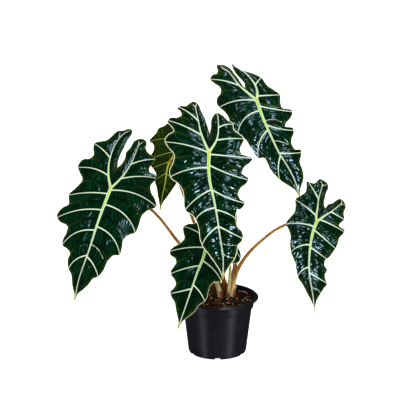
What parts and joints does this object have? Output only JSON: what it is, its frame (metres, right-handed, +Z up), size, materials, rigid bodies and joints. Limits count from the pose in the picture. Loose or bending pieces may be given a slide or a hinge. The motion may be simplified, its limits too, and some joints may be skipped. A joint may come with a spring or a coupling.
{
  "type": "potted alocasia",
  "caption": "Potted alocasia with arrow-shaped, wavy-edged, dark glossy leaves with raised pale veins on tan petioles, standing in a round black nursery pot of soil.",
  "frame": {"origin": "centre of the flat pad under the pot's foot, on the surface that the pot stands on", "axes": "+Z up along the pot's axis; the plant faces -Y, the picture's viewer; +X is to the viewer's right"},
  "size_m": [0.4186, 0.2048, 0.4187],
  "materials": {
    "pot_plastic": "satin black moulded plastic",
    "soil": "dark peaty potting mix with bark chips",
    "leaf_upper": "glossy very dark green leaf surface, quilted between the veins",
    "leaf_underside": "satin olive leaf underside",
    "upper_veins": "pale yellow-green to whitish raised veins",
    "underside_veins": "thin yellow-green raised veins",
    "petiole": "smooth tan to orange-brown stem, paler at the foot",
    "young_petiole": "smooth yellow-green stem",
    "sheath": "thin dry red-brown sheath"
  },
  "bodies": {
    "root": {"pot": "pot_plastic", "soil": "soil", "leaf_left_blade": "leaf_upper", "leaf_left_veins": "upper_veins", "leaf_left_petiole": "petiole", "leaf_back_blade": "leaf_underside", "leaf_back_veins": "underside_veins", "leaf_back_petiole": "petiole", "leaf_centre_blade": "leaf_upper", "leaf_centre_veins": "upper_veins", "leaf_centre_petiole": "petiole", "leaf_top_blade": "leaf_upper", "leaf_top_veins": "upper_veins", "leaf_top_petiole": "petiole", "leaf_right_blade": "leaf_upper", "leaf_right_veins": "upper_veins", "leaf_right_petiole": "petiole", "leaf_low_blade": "leaf_upper", "leaf_low_veins": "upper_veins", "leaf_low_petiole": "petiole", "leaf_young_blade": "leaf_upper", "leaf_young_veins": "upper_veins", "leaf_young_petiole": "young_petiole", "sheath_low": "sheath", "sheath_centre": "sheath", "sheath_young": "sheath", "sheath_right": "sheath"}
  },
  "joints": []
}
